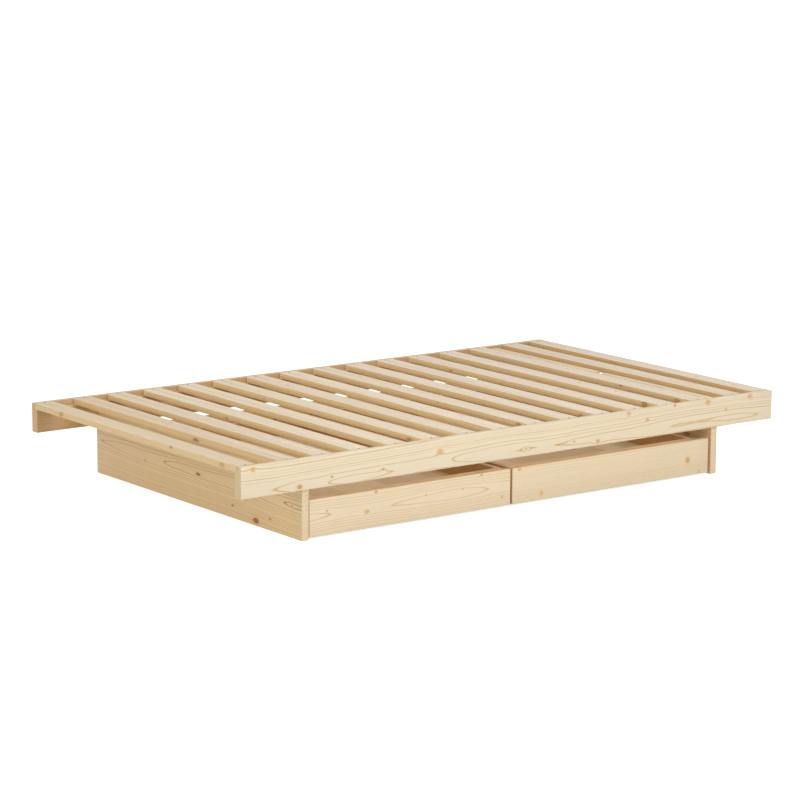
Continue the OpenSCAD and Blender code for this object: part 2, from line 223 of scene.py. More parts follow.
    # Knots: a warm halo, a thin dark outline, and a ringed core with a small heart
    ragged = about_middle(noise(tree, log, (150.0, 150.0, 150.0), 2.0), 0.38)
    near = times(times(along, along), 0.60)
    near = plus(ragged, maths(tree, "SQRT", plus(near, times(across, across))))
    halo = ease_between(tree, near, 0.9, 3.2, 1.0, 0.0)
    halo = times(times(halo, halo), plus(times(dark, 0.22), 0.30))
    core = ease_between(tree, near, 0.86, 1.12, 1.0, 0.0)
    rim = times(ease_between(tree, near, 0.55, 0.85), core)
    bands = about_middle(maths(tree, "SINE", times(near, 15.0)), 0.6)
    heart = ease_between(tree, near, 0.02, 0.36, 1.0, 0.0)
    fresh = blend_colour(tree, plus(bands, 0.75), (0.81, 0.57, 0.29, 1.0), (0.72, 0.43, 0.175, 1.0))
    old = blend_colour(tree, plus(bands, 0.75), (0.37, 0.165, 0.055, 1.0), (0.24, 0.095, 0.030, 1.0))
    branch = blend_colour(tree, dark, fresh, old)
    bark = blend_colour(tree, dark, (0.55, 0.250, 0.065, 1.0), (0.100, 0.040, 0.015, 1.0))
    outline = times(maths(tree, "MAXIMUM", rim, heart), plus(times(dark, 0.5), 0.45))
    branch = blend_colour(tree, outline, branch, bark)
    warm = (0.72, 0.41, 0.135, 1.0)
    colour = blend_colour(tree, halo, colour, warm)
    colour = blend_colour(tree, core, colour, branch)

    # End grain is a little darker; arrises are rubbed pale, and glue lines are dark
    colour = blend_colour(tree, times(end, 0.75), colour, tinted(colour, (0.84, 0.73, 0.57)))
    rub = times(maths(tree, "MAXIMUM", edge, 0.0), ease_between(tree, patch, 0.40, 0.62, 0.15, 0.6))
    colour = blend_colour(tree, rub, colour, tinted(colour, (1.09, 1.08, 1.04)))
    line = maths(tree, "MAXIMUM", times(edge, -1.0), 0.0)
    glue = (0.205, 0.095, 0.030, 1.0)
    colour = blend_colour(tree, times(line, 0.7), colour, glue)

    height = plus(plus(times(late, 0.55), times(fibre, 0.45)), times(rim, -0.7))
    rough = plus(plus(times(late, -0.10), 0.60), plus(about_middle(fibre, 0.18), times(core, -0.12)))
    close_group(tree, colour, rough, height)
    return tree


pine = build_pine()


def new_material(name):
    """An empty material with its Principled shader, and that shader."""
    made = bpy.data.materials.new(name)
    made.use_nodes = True
    return made, made.node_tree.nodes["Principled BSDF"]


def emboss(tree, shader, height, strength, reach):
    """Bumps a shader's surface by a height that reaches so far, in metres."""
    relief = put(tree, "Bump", {"Height": height, "Strength": strength, "Distance": reach})
    tree.links.new(relief.outputs[0], shader.inputs["Normal"])


def pine_finish(name, early, late, strength=1.0, second=(0.8, 0.7, 0.5), share=0.0):
    """A material of bare planed pine: early and late wood, how strong its lines are, and the wood
    and share of its faces of a second tone."""
    made, shader = new_material(name)
    tree = made.node_tree
    grain = tree.nodes.new("ShaderNodeGroup")
    grain.node_tree = pine
    for label in ("Log", "Facing", "Knot", "Growth", "Mark", "Tone"):
        source = put(tree, "Attribute", attribute_name=label.lower())
        tree.links.new(source.outputs["Fac" if label == "Tone" else "Vector"], grain.inputs[label])
    for label, value in (("Early Wood", (*early, 1.0)), ("Late Wood", (*late, 1.0)),
                         ("Second Wood", (*second, 1.0)), ("Second Share", share),
                         ("Line Strength", strength)):
        grain.inputs[label].default_value = value
    tree.links.new(grain.outputs["Color"], shader.inputs["Base Color"])
    tree.links.new(grain.outputs["Roughness"], shader.inputs["Roughness"])
    emboss(tree, shader, grain.outputs["Height"], 0.22, 0.0004)
    shader.inputs["Specular IOR Level"].default_value = 0.42
    return made


def extrude(outline, axis, low, high):
    """A flat outline drawn out along an axis. The outline's points are in the other two axes."""
    solid = bmesh.new()
    rings = []
    for level in (low, high):
        ring = []
        for point in outline:
            place = list(point)
            place.insert(axis, level)
            ring.append(solid.verts.new(place))
        rings.append(ring)
    solid.faces.new(rings[0])
    solid.faces.new(rings[1])
    count = len(outline)
    for i in range(count):
        j = (i + 1) % count
        solid.faces.new((rings[0][i], rings[0][j], rings[1][j], rings[1][i]))
    bmesh.ops.recalc_face_normals(solid, faces=solid.faces[:])
    return solid


def round_arrises(solid, radius, axis=None):
    """Rounds every outer edge, or those along one axis, and leaves inner corners sharp."""
    # in radians, and as a share of the edge's length
    least_bend, least_share = 0.5, 0.9
    solid.normal_update()
    outer = [e for e in solid.edges
             if e.is_manifold and e.is_convex and e.calc_face_angle() > least_bend]
    if axis is not None:
        outer = [e for e in outer
                 if abs((e.verts[0].co - e.verts[1].co)[axis]) > least_share * e.calc_length()]
    bmesh.ops.bevel(solid, geom=outer, offset=radius, offset_type="OFFSET", segments=2,
                    profile=0.5, affect="EDGES", clamp_overlap=True)


def along_axis(axis, value):
    """A vector along one axis."""
    return Vector([value if a == axis else 0.0 for a in range(3)])


def cut_across(solid, axis, at):
    """Parts the mesh at a plane, so that its two sides can hold different values."""
    bmesh.ops.bisect_plane(solid, geom=solid.verts[:] + solid.edges[:] + solid.faces[:], dist=1e-6,
                           plane_co=along_axis(axis, at), plane_no=along_axis(axis, 1.0))


def nearward(normal, at):
    """How far a face looks to the near side."""
    return max(-normal.y, 0.0)


def tree_axes(grain, width, slope_w, slope_d):
    """A stave's axes in the tree: along its pith, across, and in depth."""
    pith = along_axis(grain, 1.0)
    pith[width], pith[3 - grain - width] = slope_w, slope_d
    pith.normalize()
    across = along_axis(width, 1.0)
    across = (across - pith * pith.dot(across)).normalized()
    return pith, across, pith.cross(across)


def on_axes(way, axes):
    """How far a way goes along each axis."""
    return [way.dot(axis) for axis in axes]


def saw_from_log(solid, grain, width, joints, pith, knots, ring, draw, second=None, vary=1.0,
                 stretch=1.0):
    """Gives every corner its place in the tree, so that the grain runs on over edges and ends.
    grain and width are axes; joints are the glue lines across the width. pith has for each stave
    its place across the width and in depth, and its two slopes. A knot is (x, y, z, radius, dark),
    and ring is the width of a year's growth. second gives from a face's normal and place how far it
    is of the second tone, vary is how much the staves differ, and stretch is how long the knots are."""
    depth = 3 - grain - width
    # half the width of a glue line, and how near an edge a knot counts as on it
    hair = 0.00025
    # least share of a normal along one axis, for end grain, for a broad face and for any flat face
    end_grain, broad, flat = 0.7, 0.9, 0.985
    # a branch leans towards the face that shows its knot, and most where that is a narrow edge
    lean, lean_on_edge = 3.0, 12.0
    far_away, no_branch = Vector((9.0, 9.0, 9.0)), Vector((0.005, 0.0, ring))
    for joint in joints:
        cut_across(solid, width, joint - hair)
        cut_across(solid, width, joint + hair)
    low = [min(v.co[a] for v in solid.verts) for a in range(3)]
    high = [max(v.co[a] for v in solid.verts) for a in range(3)]
    bounds = [low[width], *joints, high[width]]
    staves = []
    for (across, deep, *slopes), first, last in zip(pith, bounds, bounds[1:]):
        held = sorted((k for k in knots if first - hair < k[width] < last + hair),
                      key=lambda k: k[grain])
        for before, after in zip(held, held[1:]):
            cut_across(solid, grain, (before[grain] + after[grain]) / 2)
        start = Vector((0.0, 0.0, 0.0))
        start[grain], start[width], start[depth] = (low[grain] + high[grain]) / 2, across, deep
        # how far up the tree it was, and how light or dark it is
        run = draw.uniform(0.0, 40.0)
        tone = draw.uniform(-1.0, 1.0) * vary
        staves.append((start, tree_axes(grain, width, *slopes), held, run, tone))
    layers = solid.loops.layers
    log, cut, to_knot, growth, mark = (layers.float_vector.new(n) for n in
                                       ("log", "facing", "knot", "growth", "mark"))
    shade = layers.float.new("tone")
    solid.normal_update()
    for face in solid.faces:
        middle = face.calc_center_median()
        start, axes, held, run, tone = staves[sum(middle[width] > j for j in joints)]
        facing = [abs(n) for n in face.normal]
        edge = 1.0 if max(facing) < flat else 0.0
        if any(abs(middle[width] - j) < hair * 1.5 for j in joints) and facing[width] < 0.5:
            edge = -1.0
        other = second(face.normal, middle) if second else 0.0
        end = 1.0 - other if facing[grain] > end_grain else 0.0
        near = min(held, key=lambda k: abs(middle[grain] - k[grain]), default=None)
        if near is not None:
            at = Vector(near[:3])
            branch = at - start - axes[0] * (at - start).dot(axes[0])
            on_edge = min(abs(at[width] - low[width]), abs(at[width] - high[width])) < hair
            branch[width if on_edge else depth] *= lean_on_edge if on_edge else lean
            branch.normalize()
            if on_edge and facing[depth] > broad:
                near = None
        for loop in face.loops:
            x, y, z = on_axes(loop.vert.co - start, axes)
            loop[log] = Vector((x + run, y, z))
            loop[cut] = Vector(on_axes(face.normal, axes))
            loop[mark] = Vector((end, edge, other))
            loop[shade] = tone
            if near is None:
                loop[to_knot], loop[growth] = far_away, no_branch
            else:
                rest = loop.vert.co - at
                rest -= branch * rest.dot(branch)
                x, y, z = on_axes(rest, axes)
                loop[to_knot] = Vector((x / stretch, y, z))
                loop[growth] = Vector((near[3], near[4], ring))


def finish_piece(name, solid, material, body, nodes):
    """Makes the object, shades it smooth over its rounded edges, and hands it to its body."""
    mesh = bpy.data.meshes.new(name)
    solid.to_mesh(mesh)
    solid.free()
    mesh.materials.append(material)
    piece = bpy.data.objects.new(name, mesh)
    bpy.context.scene.collection.objects.link(piece)
    mesh.shade_smooth()
    mesh.set_sharp_from_angle(angle=math.radians(50))
    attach(piece, body)
    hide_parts(*nodes)


# radius of the broken edges, width of a rail's lip beside its rebate, and width of a year's ring
ARRIS = 0.0015
LIP = 0.020
RAIL_RING = 0.0066
# the pith's height and how far it lies behind the outer face, and its two slopes
RAIL_PITH = (0.183, 0.040, 0.004, -0.010)
rail_pine = pine_finish("rail_pine", (0.835, 0.730, 0.550), (0.665, 0.400, 0.130))
# the far rail's wood: its inner face, turned to the near side, takes a darker second tone as painted
# shade
inner_shade_pine = pine_finish("inner_shade_pine", (0.775, 0.605, 0.380), (0.620, 0.350, 0.110),
                         second=(0.580, 0.385, 0.195), share=0.9)
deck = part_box("slat_01")[0].z
draw = random.Random(11)
# x, z, radius and darkness
RAIL_KNOTS = {
    "near": [(-1.008, 0.244, 0.0055, 0.10), (-0.844, 0.172, 0.0060, 0.35), (-0.727, 0.188, 0.0030, 0.3),
             (-0.540, 0.187, 0.0035, 0.2), (-0.326, 0.216, 0.0070, 0.0), (0.009, 0.184, 0.0035, 0.1),
             (0.203, 0.184, 0.0030, 0.1), (0.301, 0.173, 0.0055, 0.15), (0.428, 0.247, 0.0055, 0.05),
             (0.507, 0.219, 0.0045, 0.1), (0.623, 0.252, 0.0030, 0.4), (0.766, 0.247, 0.0065, 0.05),
             (0.846, 0.216, 0.0030, 0.1), (0.951, 0.246, 0.0055, 0.05)],
    "far": [(-0.905, 0.201, 0.004, 0.5), (-0.610, 0.232, 0.006, 0.2), (-0.250, 0.190, 0.005, 0.3),
            (0.120, 0.225, 0.007, 0.2), (0.480, 0.186, 0.005, 0.6), (0.835, 0.228, 0.006, 0.2)],
}
for side, sign in (("near", -1), ("far", 1)):
    low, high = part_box("rail_" + side)
    outer, inner = (low.y, high.y) if sign < 0 else (high.y, low.y)
    step = outer - sign * LIP
    outline = [(outer, low.z), (inner, low.z), (inner, deck), (step, deck), (step, high.z),
               (outer, high.z)]
    solid = extrude(outline, 0, low.x, high.x)
    round_arrises(solid, ARRIS)
    face = outer if sign < 0 else inner
    knots = [(x, face, z, r, dark) for x, z, r, dark in RAIL_KNOTS[side]]
    height, behind, *slopes = RAIL_PITH
    pith = (height, outer - sign * behind, *slopes)
    saw_from_log(solid, 0, 2, [], [pith], knots, RAIL_RING, draw, second=nearward)
    finish = rail_pine if side == "near" else inner_shade_pine
    finish_piece("side_rail_" + side, solid, finish, "frame", ["rail_" + side])


# ---------------------------------------------------------------- Slats
# Sixteen pine slats, 67 x 19 mm, laid in the rebates flush with the rails and
# screwed down once at each end. Their tops are paler than their sides, as painted light and sheen.

def plank(low, high, along):
    """A plain board between two corners of its box, drawn out along an axis."""
    across = 1 - along
    outline = [(low[across], low.z), (high[across], low.z), (high[across], high.z),
               (low[across], high.z)]
    return extrude(outline, along, low[along], high[along])


def sink_screws(solid, places, out):
    """Cuts a countersink for a screw's head at each place; out is where its mouth faces."""
    # radius of the mouth and of the bottom, depth, and how far the cutter stands above the wood
    head, root, depth, rise = 0.0041, 0.00205, 0.0021, 0.001
    mesh = bpy.data.meshes.new("cut")
    solid.to_mesh(mesh)
    target = bpy.data.objects.new("cut", mesh)
    cutter = bmesh.new()
    turn = Vector((0, 0, 1)).rotation_difference(Vector(out)).to_matrix().to_4x4()
    slope = (head - root) / depth
    for place in places:
        at = Matrix.Translation(Vector(place)) @ turn @ Matrix.Translation((0, 0, (rise - depth) / 2))
        bmesh.ops.create_cone(cutter, cap_ends=True, segments=24, radius1=root,
                              radius2=head + slope * rise, depth=depth + rise, matrix=at)
    cut_mesh = bpy.data.meshes.new("cutter")
    cutter.to_mesh(cut_mesh)
    tool = bpy.data.objects.new("cutter", cut_mesh)
    for one in (target, tool):
        bpy.context.scene.collection.objects.link(one)
    cut = target.modifiers.new("sink", "BOOLEAN")
    cut.operation, cut.solver, cut.object = "DIFFERENCE", "EXACT", tool
    bpy.context.view_layer.update()
    result = target.evaluated_get(bpy.context.evaluated_depsgraph_get()).to_mesh()
    solid.clear()
    solid.from_mesh(result)
    for one in (target, tool):
        old = one.data
        bpy.data.objects.remove(one)
        bpy.data.meshes.remove(old)


def upward(normal, at):
    """How far a face looks up."""
    return max(normal.z, 0.0)


def within(draw, reach):
    """A random number within reach of nought, on either side."""
    return draw.uniform(-reach, reach)


def to_either_side(draw, least, most):
    """A random distance, to one side or the other."""
    return draw.choice((-1, 1)) * draw.uniform(least, most)


# early and late wood of the slats, as lit and shaded copies of one pine: lighter on slats 4 to 13 as
# painted light, darker on slats 2, 15 and 16 as painted shade
SLAT_LIT_AND_SHADED = {
    "slat_pine": ((0.925, 0.715, 0.395), (0.630, 0.345, 0.100)),
    "slat_plain": ((0.835, 0.635, 0.345), (0.580, 0.305, 0.085)),
    "slat_warm": ((0.760, 0.530, 0.255), (0.590, 0.310, 0.085)),
}
slat_finishes = {name: pine_finish(name, early, late, strength=0.9,
                                   second=(0.895, 0.823, 0.730), share=0.60)
                 for name, (early, late) in SLAT_LIT_AND_SHADED.items()}
SLAT_LIGHTING = {1: "slat_plain", 2: "slat_warm", 3: "slat_plain", 14: "slat_plain",
             15: "slat_warm", 16: "slat_warm"}
# y, z, radius and darkness of knots on the slats' left sides
SLAT_KNOTS = {
    1: [(0.421, 0.246, 0.0045, 0.35), (-0.229, 0.251, 0.0025, 0.6), (-0.507, 0.246, 0.0045, 0.3)],
    2: [(-0.143, 0.241, 0.0060, 0.8)],
    6: [(-0.512, 0.243, 0.0045, 0.25)],
    9: [(-0.538, 0.246, 0.0045, 0.3)],
    11: [(-0.516, 0.242, 0.0035, 0.2)],
    13: [(-0.512, 0.246, 0.0050, 0.35)],
    14: [(-0.516, 0.244, 0.0050, 0.3), (-0.235, 0.250, 0.0025, 0.7)],
    16: [(0.120, 0.250, 0.0045, 0.0)],
}
SLAT_ARRIS = 0.0012
HEAD_RADIUS = 0.004
screw_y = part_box("slat_screws")[1].y - HEAD_RADIUS
draw = random.Random(23)
for number in range(1, 17):
    node = f"slat_{number:02d}"
    low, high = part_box(node)
    solid = plank(low, high, 1)
    round_arrises(solid, SLAT_ARRIS, axis=1)
    middle = (low.x + high.x) / 2
    sink_screws(solid, [(middle, s * screw_y, high.z) for s in (-1, 1)], (0, 0, 1))
    knots = [(low.x, *knot) for knot in SLAT_KNOTS.get(number, [])]
    # a few small knots more, clear of these, on all but the first two
    for _ in range(draw.choice((1, 1, 2))):
        on_side = draw.random() < 0.3
        x = low.x if on_side else draw.uniform(low.x + 0.008, high.x - 0.008)
        y = draw.uniform(low.y + 0.1, high.y - 0.1)
        z = draw.uniform(low.z + 0.004, high.z - 0.004) if on_side else high.z
        size, dark = draw.uniform(0.0015, 0.003), draw.choice((0.0, 0.1, 0.3))
        if all(abs(y - k[1]) > 0.09 for k in knots) and number > 2:
            knots.append((x, y, z, size, dark))
    deep = to_either_side(draw, 0.030, 0.085)
    pith = (middle + within(draw, 0.05), (low.z + high.z) / 2 + deep,
            within(draw, 0.012), within(draw, 0.008))
    # painted light on the tops: most on slats 12 and 13, and least on slat 1
    top_light_share = 0.70 + 0.05 * min(number, 25 - number)
    saw_from_log(solid, 1, 0, [], [pith], knots, draw.uniform(0.003, 0.0045), draw,
                 second=lambda n, at: upward(n, at) * top_light_share, stretch=2.0)
    finish = slat_finishes[SLAT_LIGHTING.get(number, "slat_pine")]
    finish_piece(f"deck_slat_{number:02d}", solid, finish, "frame", [node])


# ---------------------------------------------------------------- End panels
# Two panels of edge-glued pine staves, 25 mm thick. They stand on the floor and carry the
# rails on their shoulders. The right one's top rises into the gap between slats 14 and 15.

panel_pine = pine_finish("panel_pine", (0.850, 0.655, 0.385), (0.430, 0.210, 0.055),
                         second=(0.84, 0.72, 0.52), share=0.85)
# y, z, radius and darkness
PANEL_KNOTS = {
    "left": [(0.290, 0.092, 0.003, 0.2), (-0.021, 0.103, 0.005, 0.9), (-0.215, 0.040, 0.0025, 0.9),
             (-0.343, 0.017, 0.006, 0.95), (-0.419, 0.036, 0.003, 0.5), (-0.535, 0.098, 0.0025, 0.2)],
    "right": [(0.380, 0.070, 0.006, 0.3), (0.060, 0.125, 0.007, 0.7), (-0.250, 0.048, 0.005, 0.2),
              (-0.470, 0.120, 0.006, 0.4)],
}
PANEL_JOINT, PANEL_RING = 0.138, 0.0048
# the notch in the right one's top: its two sides across the bed, and its depth
NOTCH_FAR, NOTCH_NEAR, NOTCH_DEPTH = 0.007, -0.027, 0.009


def on_ends_and_tops(normal, at):
    """The second tone is on the ends and against the rails, and on what faces up between them, where
    its paleness is painted light.
    """
    by_the_rails = 0.5
    return abs(normal.y) if abs(at.y) > by_the_rails else upward(normal, at)


draw = random.Random(31)
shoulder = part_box("rail_near")[0].z
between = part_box("rail_far")[0].y
for side, sign in (("left", -1), ("right", 1)):
    node = "end_panel_" + side
    low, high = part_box(node)
    outline = [(low.y, 0.0), (high.y, 0.0), (high.y, shoulder), (between, shoulder),
               (between, high.z)]
    if side == "right":
        bottom = high.z - NOTCH_DEPTH
        outline += [(NOTCH_FAR, high.z), (NOTCH_FAR, bottom), (NOTCH_NEAR, bottom),
                    (NOTCH_NEAR, high.z)]
    outline += [(-between, high.z), (-between, shoulder), (low.y, shoulder)]
    solid = extrude(outline, 0, low.x, high.x)
    round_arrises(solid, ARRIS)
    face = low.x if side == "left" else high.x
    knots = [(face, y, z, r, dark) for y, z, r, dark in PANEL_KNOTS[side]]
    # piths of the lower and the upper stave
    lower = (0.106, face - sign * 0.034, 0.006, -0.014 * sign)
    upper = (0.215, face - sign * 0.064, -0.006, 0.003)
    saw_from_log(solid, 1, 2, [PANEL_JOINT], [lower, upper], knots, PANEL_RING, draw,
                 second=on_ends_and_tops, stretch=1.9)
    finish_piece(node.replace("end_panel", "upright"), solid, panel_pine, "frame",
                 [node])


# ---------------------------------------------------------------- Back panel
# A pine board on edge between the end panels, behind the drawers, with two dowels at each
# end. Its arrises are broken like the rails'.

back_pine = pine_finish("back_pine", (0.790, 0.595, 0.360), (0.560, 0.330, 0.130), strength=0.9)
BACK_RING = 0.0046
draw = random.Random(41)
low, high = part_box("back_panel")
solid = plank(low, high, 0)
round_arrises(solid, ARRIS)
knots = [(x, high.y, z, r, dark) for x, z, r, dark in
         ((-0.610, 0.100, 0.006, 0.7), (-0.260, 0.050, 0.005, 0.2), (0.090, 0.110, 0.007, 0.3),
          (0.420, 0.062, 0.004, 0.8), (0.690, 0.090, 0.006, 0.2))]
pith = (0.060, low.y - 0.03, 0.006, 0.002)
saw_from_log(solid, 0, 2, [], [pith], knots, BACK_RING, draw)
finish_piece("rear_board", solid, back_pine, "frame", ["back_panel"])


# ---------------------------------------------------------------- Drawer fronts
# Pine boards, 115 x 21 mm, flush with the end panels' edges. They have no handles:
# a hand reaches over the top edge, through the slot under the rail.

# the fronts' second tone is darker and warmer: painted shade on their ends, in the gaps beside them,
# and on their tops under the rail
left_pine = pine_finish("left_pine", (0.815, 0.695, 0.508), (0.670, 0.415, 0.145),
                        second=(0.750, 0.500, 0.240), share=0.9)
right_pine = pine_finish("right_pine", (0.808, 0.690, 0.500), (0.670, 0.430, 0.160),
                         second=(0.770, 0.510, 0.240), share=0.9)
# wood, height and depth of the pith, width of a ring, and each knot's x, z, radius and darkness
FRONTS = {
    "left": (left_pine, (0.070, 0.034), 0.0050,
             [(-0.731, 0.081, 0.0025, 0.2), (-0.551, 0.116, 0.004, 0.2), (-0.585, 0.058, 0.005, 0.05),
              (-0.363, 0.080, 0.0025, 0.1), (-0.221, 0.082, 0.0025, 0.1), (-0.149, 0.118, 0.003, 0.3),
              (-0.068, 0.037, 0.003, 0.1)]),
    "right": (right_pine, (0.330, 0.080), 0.0040,
              [(0.001, 0.117, 0.004, 0.1), (0.090, 0.029, 0.004, 0.05), (0.701, 0.059, 0.006, 0.25),
               (0.752, 0.016, 0.0025, 0.1)]),
}
draw = random.Random(53)
for side in ("left", "right"):
    node = f"drawer_{side}_front"
    low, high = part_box(node)
    solid = plank(low, high, 0)
    round_arrises(solid, ARRIS)
    finish, (height, behind), ring, knots = FRONTS[side]
    knots = [(x, low.y, z, r, dark) for x, z, r, dark in knots]
    pith = (height, low.y + behind, 0.004, 0.003)
    # ends and tops take the darker second tone as painted shade
    saw_from_log(solid, 0, 2, [], [pith], knots, ring, draw,
                 second=lambda n, at: max(upward(n, at), abs(n.x)))
    finish_piece(f"{side}_drawer_face", solid, finish, "drawer_" + side, [node])


# ---------------------------------------------------------------- Drawer boxes
# Plain boxes of pine boards behind the fronts: a front board, two side walls and a back
# board, screwed at the corners, with grooves that hold the floor.

# the boxes' dark early wood is painted shade of the drawers' insides, and their paler tops are painted
# light
shaded_box_pine = pine_finish("shaded_box_pine", (0.590, 0.360, 0.155), (0.520, 0.260, 0.075), strength=0.85,
                       second=(0.86, 0.68, 0.46), share=0.9)
BOX_RING = 0.0038


def head_places(heads, face, in_middle):
    """Where screws' heads lie on a face, from the box that holds them all: two rows, with a column
    at each end and maybe one in the middle."""
    xs = [heads[0].x + HEAD_RADIUS, heads[1].x - HEAD_RADIUS]
    if in_middle:
        xs.insert(1, (heads[0].x + heads[1].x) / 2)
    zs = [heads[0].z + HEAD_RADIUS, heads[1].z - HEAD_RADIUS]
    return [(x, face, z) for x in xs for z in zs]


draw = random.Random(67)
for side in ("left", "right"):
    body = "drawer_" + side
    for part, run in (("box_front", 0), ("back", 0), ("side_left", 1), ("side_right", 1)):
        node = f"{body}_{part}"
        low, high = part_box(node)
        cross = 1 - run
        solid = plank(low, high, run)
        round_arrises(solid, ARRIS)
        if part == "box_front":
            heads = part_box(body + "_front_screws")
            sink_screws(solid, head_places(heads, high.y, True), (0, 1, 0))
        if part == "back":
            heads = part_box(body + "_corner_screws")
            sink_screws(solid, head_places(heads, high.y, False), (0, 1, 0))
        knots = []
        for _ in range(3):
            at = [0.0, 0.0, 0.0]
            at[run] = draw.uniform(low[run] + 0.08, high[run] - 0.08)
            at[cross] = draw.choice((low[cross], high[cross]))
            at[2] = draw.uniform(low.z + 0.02, high.z - 0.008)
            if all(abs(at[run] - k[run]) > 0.1 for k in knots):
                knots.append((*at, draw.uniform(0.003, 0.006), draw.choice((0.1, 0.2, 0.8))))
        pith = ((low.z + high.z) / 2 + within(draw, 0.03),
                (low[cross] + high[cross]) / 2 + to_either_side(draw, 0.03, 0.07),
                within(draw, 0.01), within(draw, 0.006))
        saw_from_log(solid, run, 2, [], [pith], knots, BOX_RING, draw, second=upward)
        finish_piece(f"{side}_drawer_{part}", solid, shaded_box_pine, body, [node])


# ---------------------------------------------------------------- Drawer floors
# Edge-glued pine, 12 mm thick, whose staves run from front to back in the drawers. Each
# floor's edges sit in the grooves of the four boards round it.

floor_pine = pine_finish("floor_pine", (0.950, 0.780, 0.520), (0.740, 0.480, 0.210), strength=0.8)
# x of the glue lines
FLOOR_JOINTS = {
    "left": [-0.683, -0.596, -0.485, -0.428, -0.315, -0.204, -0.134],
    "right": [0.105, 0.208, 0.291, 0.371, 0.476, 0.579, 0.655],
}
FLOOR_RING = 0.0048
draw = random.Random(79)
for side in ("left", "right"):
    node = f"drawer_{side}_floor"
    low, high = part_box(node)
    solid = plank(low, high, 1)
    joints = FLOOR_JOINTS[side]
    bounds = [low.x, *joints, high.x]
    pith, knots = [], []
    for first, second in zip(bounds, bounds[1:]):
        middle = (first + second) / 2
        pith.append((middle + within(draw, 0.05), low.z + to_either_side(draw, 0.03, 0.08),
                     within(draw, 0.01), within(draw, 0.008)))
        knots.append((draw.uniform(first + 0.015, second - 0.015),
                      draw.uniform(low.y + 0.1, high.y - 0.1), high.z,
                      draw.uniform(0.003, 0.007), draw.choice((0.1, 0.3, 0.8))))
    saw_from_log(solid, 1, 0, joints, pith, knots, FLOOR_RING, draw, vary=6.0)
    finish_piece(f"{side}_drawer_floor_board", solid, floor_pine, "drawer_" + side,
                 [node])


# ---------------------------------------------------------------- Screws, brackets and axles
# Zinc-plated steel: countersunk screws with cross recesses, pressed brackets under the
# drawer floors, and plain axle pins with upset heads.

def build_plated():
    """Dull plating: fine scratches, a mottled bloom and dirt in patches."""
    tree, given = open_group(
        "Plated steel",
        [("Place", "Vector"), ("Metal", "Color"), ("Stain", "Color"), ("Stain Share", "Float")])
    place, share = given.outputs["Place"], given.outputs["Stain Share"]
    scratch = noise(tree, place, (2400.0, 160.0, 900.0), 2.0, 0.6)
    bloom = noise(tree, place, (300.0, 300.0, 300.0), 3.0)
    dirt = maths(tree, "MULTIPLY", ease_between(tree, bloom, 0.42, 0.70), share)
    colour = blend_colour(tree, dirt, given.outputs["Metal"], given.outputs["Stain"])
    rough = maths(tree, "ADD", 0.30, maths(tree, "MULTIPLY", scratch, 0.22))
    rough = maths(tree, "ADD", rough, maths(tree, "MULTIPLY", dirt, 0.25))
    close_group(tree, colour, rough, scratch)
    return tree


plated = build_plated()


def steel_finish(name, metal, stain, share, metallic):
    """A plated steel with its own tint and share of stain."""
    made, shader = new_material(name)
    tree = made.node_tree
    coat = tree.nodes.new("ShaderNodeGroup")
    coat.node_tree = plated
    tree.links.new(put(tree, "TexCoord").outputs["Object"], coat.inputs["Place"])
    for label, value in (("Metal", (*metal, 1.0)), ("Stain", (*stain, 1.0)), ("Stain Share", share)):
        coat.inputs[label].default_value = value
    tree.links.new(coat.outputs["Color"], shader.inputs["Base Color"])
    tree.links.new(coat.outputs["Roughness"], shader.inputs["Roughness"])
    emboss(tree, shader, coat.outputs["Height"], 0.15, 0.0001)
    shader.inputs["Metallic"].default_value = metallic
    return made


def dress(node, material):
    """Gives all of a solid one material."""
    for held in node.material_slots:
        held.material = material


# the screws' dark brownish metal is painted shade of their countersunk recesses
screw_steel = steel_finish("screw_steel", (0.20, 0.165, 0.125), (0.085, 0.055, 0.035), 0.7, 0.5)
bracket_steel = steel_finish("bracket_steel", (0.60, 0.61, 0.63), (0.42, 0.40, 0.36), 0.5, 1.0)
axle_steel = steel_finish("axle_steel", (0.68, 0.69, 0.70), (0.50, 0.48, 0.44), 0.3, 1.0)
for name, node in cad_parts.items():
    if name.endswith("screws"):
        dress(node, screw_steel)
    elif name.endswith("brackets"):
        dress(node, bracket_steel)
    elif name.endswith("axles"):
        dress(node, axle_steel)


# ---------------------------------------------------------------- Wheels
# Moulded wheels, 40 mm across, of dark matt plastic with a scuffed tread. Each turns on
# its axle between the two ears of a bracket.

wheel_plastic, shader = new_material("wheel_plastic")
tree = wheel_plastic.node_tree
place = put(tree, "TexCoord").outputs["Object"]
grain = noise(tree, place, (1600.0, 1600.0, 1600.0), 2.0)
scuff = ease_between(tree, noise(tree, place, (90.0, 240.0, 240.0), 3.0, 0.6), 0.50, 0.72)
colour = blend_colour(tree, maths(tree, "MULTIPLY", scuff, 0.45), (0.050, 0.050, 0.053, 1.0),
                      (0.150, 0.140, 0.125, 1.0))
tree.links.new(colour, shader.inputs["Base Color"])
rough = maths(tree, "ADD", 0.48, maths(tree, "MULTIPLY", scuff, 0.25))
tree.links.new(rough, shader.inputs["Roughness"])
emboss(tree, shader, grain, 0.25, 0.0002)
for name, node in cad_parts.items():
    if name.startswith("wheel"):
        dress(node, wheel_plastic)


# ---------------------------------------------------------------- Dowels
# Smooth hardwood pegs, 8 mm thick, hidden in bored holes. They join the rails and the
# back panel to the end panels.

